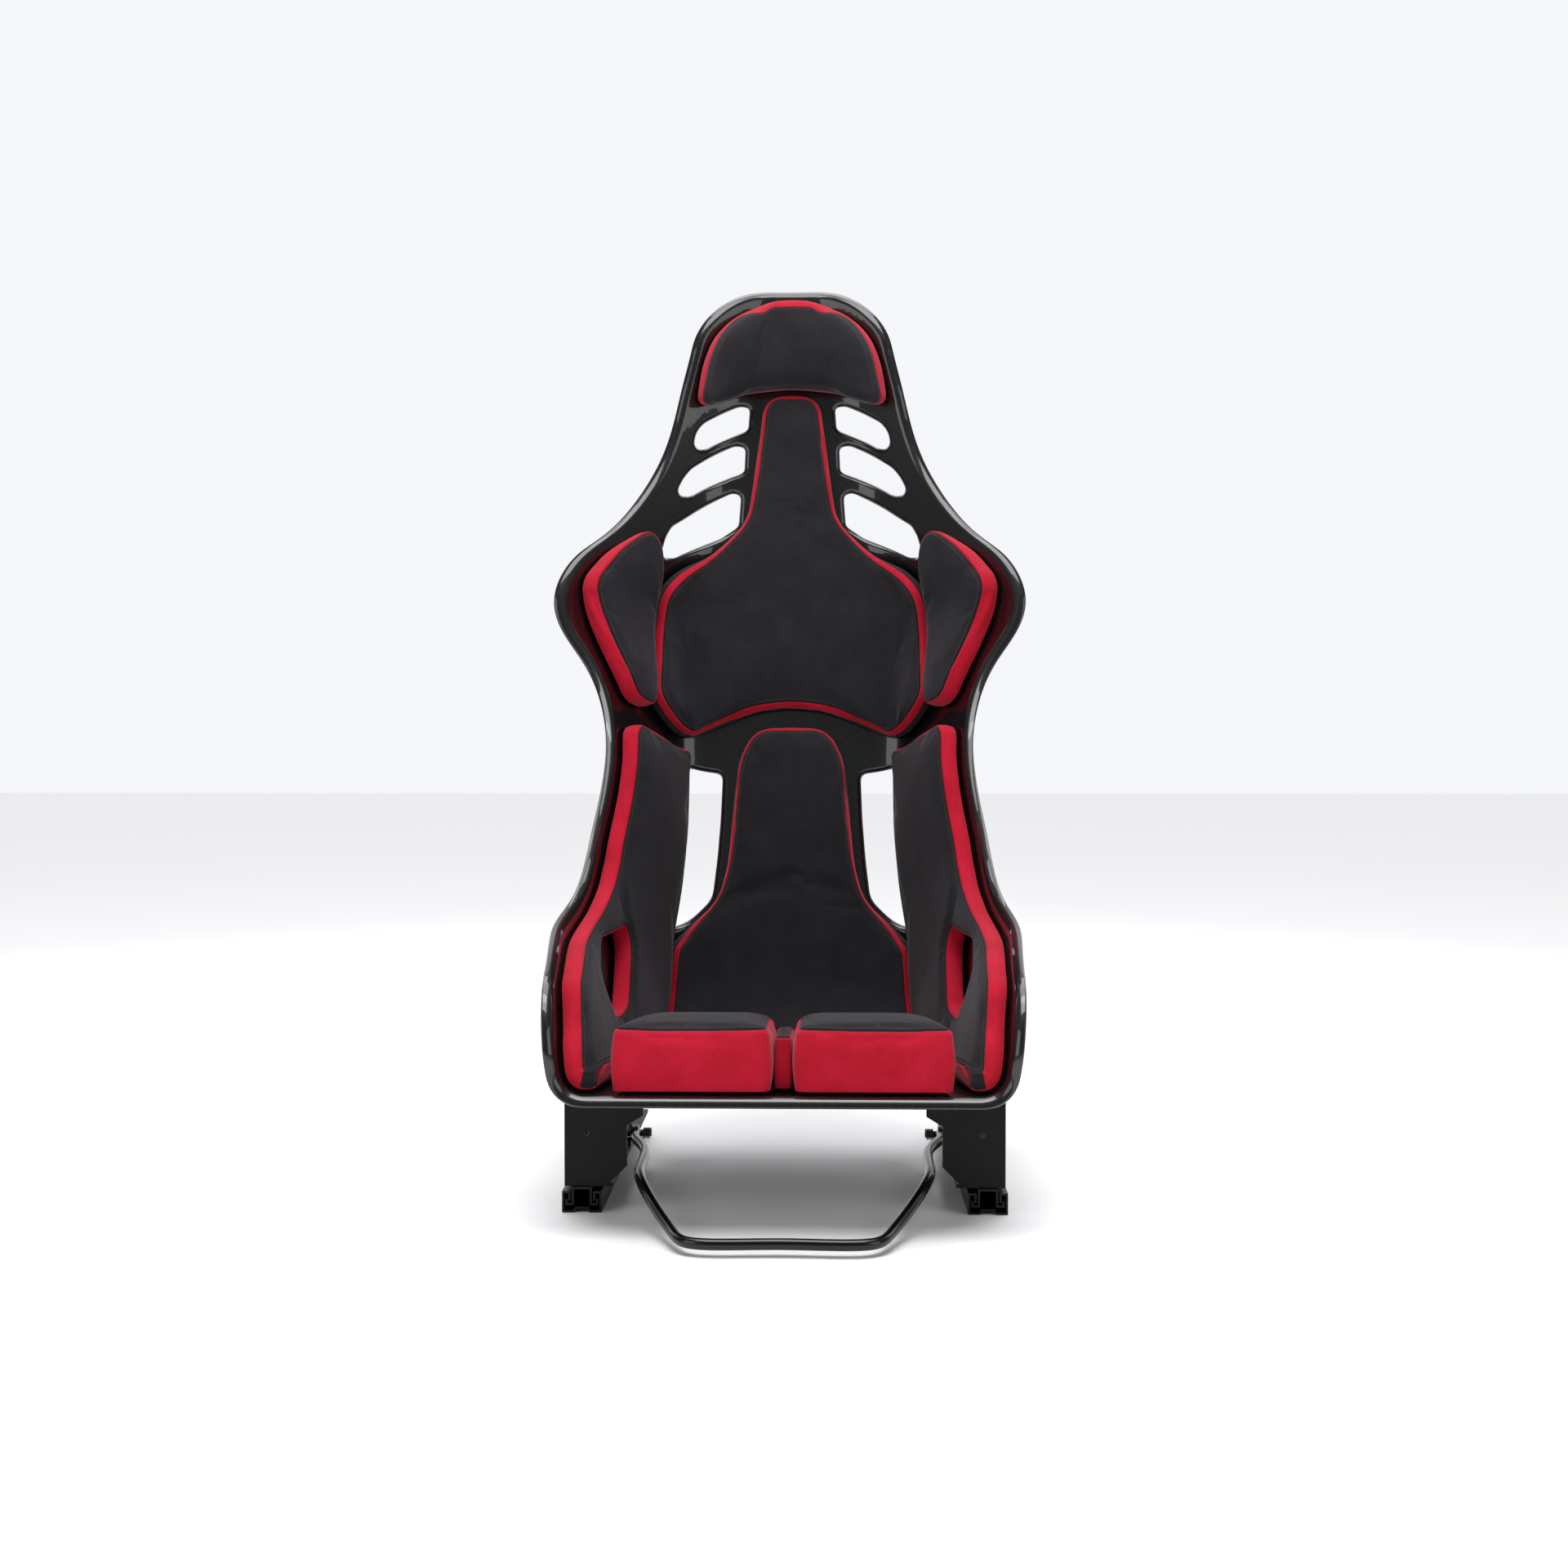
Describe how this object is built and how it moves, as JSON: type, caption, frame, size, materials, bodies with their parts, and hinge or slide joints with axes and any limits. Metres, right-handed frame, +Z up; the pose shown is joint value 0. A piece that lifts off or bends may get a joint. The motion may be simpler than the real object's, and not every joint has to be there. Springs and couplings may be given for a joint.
{
  "type": "racing bucket seat",
  "caption": "Fixed-back bucket racing seat: thin glossy shell, black pads with red edges, strap openings, side brackets on sliding floor rails, and a lift bar.",
  "frame": {"origin": "on the floor, under the middle of the seat's bounding box", "axes": "+Z up, front of the seat towards -Y, +X to the right when seen from the front"},
  "size_m": [0.5822, 0.6729, 1.1368],
  "materials": {
    "carbon_shell": "gloss black carbon twill under clear coat",
    "pad_suede": "black synthetic suede with red edge bands",
    "bracket_black": "satin black powder coat",
    "bar_black": "gloss black paint",
    "rail_steel": "black coated steel",
    "zinc_steel": "zinc plated steel",
    "spring_steel": "oiled spring steel",
    "ball_steel": "polished ball steel",
    "boss_aluminium": "turned aluminium"
  },
  "bodies": {
    "floor_rails": {"lower_rail_left": "rail_steel", "lower_rail_right": "rail_steel"},
    "seat": {"seat_shell": "carbon_shell", "head_pad": "pad_suede", "back_pad": "pad_suede", "seat_pad": "pad_suede", "strip_pad": "pad_suede", "shoulder_pad_left": "pad_suede", "hip_pad_left": "pad_suede", "thigh_pad_left": "pad_suede", "side_bracket_left": "bracket_black", "upper_rail_left": "rail_steel", "pivot_pin_left": "zinc_steel", "return_spring_left": "spring_steel", "shell_boss_front_left": "boss_aluminium", "shell_bolt_front_left": "zinc_steel", "shell_washer_front_left": "zinc_steel", "rail_bolt_front_left": "zinc_steel", "rail_nut_front_left": "zinc_steel", "shell_boss_rear_left": "boss_aluminium", "shell_bolt_rear_left": "zinc_steel", "shell_washer_rear_left": "zinc_steel", "rail_bolt_rear_left": "zinc_steel", "rail_nut_rear_left": "zinc_steel", "shoulder_pad_right": "pad_suede", "hip_pad_right": "pad_suede", "thigh_pad_right": "pad_suede", "side_bracket_right": "bracket_black", "upper_rail_right": "rail_steel", "pivot_pin_right": "zinc_steel", "return_spring_right": "spring_steel", "shell_boss_front_right": "boss_aluminium", "shell_bolt_front_right": "zinc_steel", "shell_washer_front_right": "zinc_steel", "rail_bolt_front_right": "zinc_steel", "rail_nut_front_right": "zinc_steel", "shell_boss_rear_right": "boss_aluminium", "shell_bolt_rear_right": "zinc_steel", "shell_washer_rear_right": "zinc_steel", "rail_bolt_rear_right": "zinc_steel", "rail_nut_rear_right": "zinc_steel"},
    "lift_bar": {"lift_bar": "bar_black"},
    "lock_pawl_left": {"lock_pawl_left": "zinc_steel"},
    "lock_pawl_right": {"lock_pawl_right": "zinc_steel"},
    "ball_strips_left": {"ball_strip_outer_left": "zinc_steel", "ball_outer_front_left": "ball_steel", "ball_outer_rear_left": "ball_steel", "ball_strip_inner_left": "zinc_steel", "ball_inner_front_left": "ball_steel", "ball_inner_rear_left": "ball_steel"},
    "ball_strips_right": {"ball_strip_outer_right": "zinc_steel", "ball_outer_front_right": "ball_steel", "ball_outer_rear_right": "ball_steel", "ball_strip_inner_right": "zinc_steel", "ball_inner_front_right": "ball_steel", "ball_inner_rear_right": "ball_steel"}
  },
  "joints": [
    {"name": "seat_slide", "type": "slide", "parent": "floor_rails", "child": "seat", "axis": [0, -1, 0], "range_m": [-0.105, 0.105]},
    {"name": "lift_bar_hinge", "type": "hinge", "parent": "seat", "child": "lift_bar", "pos_m": [0, 0.025, 0.046], "axis": [-1, 0, 0], "range_deg": [0, 12], "stiffness_Nm_per_rad": 2, "springref_deg": -17.19},
    {"name": "lock_pawl_lift_left", "type": "slide", "parent": "seat", "child": "lock_pawl_left", "axis": [0, 0, 1], "range_m": [0, 0.0063]},
    {"name": "ball_strip_roll_left", "type": "slide", "parent": "floor_rails", "child": "ball_strips_left", "axis": [0, -1, 0], "range_m": [-0.0525, 0.0525]},
    {"name": "lock_pawl_lift_right", "type": "slide", "parent": "seat", "child": "lock_pawl_right", "axis": [0, 0, 1], "range_m": [0, 0.0063]},
    {"name": "ball_strip_roll_right", "type": "slide", "parent": "floor_rails", "child": "ball_strips_right", "axis": [0, -1, 0], "range_m": [-0.0525, 0.0525]}
  ],
  "couplings": [
    {"joint": "lock_pawl_lift_left", "follows": "lift_bar_hinge", "m_per_rad": 0.0298},
    {"joint": "ball_strip_roll_left", "follows": "seat_slide", "ratio": 0.5},
    {"joint": "lock_pawl_lift_right", "follows": "lift_bar_hinge", "m_per_rad": 0.0298},
    {"joint": "ball_strip_roll_right", "follows": "seat_slide", "ratio": 0.5}
  ]
}
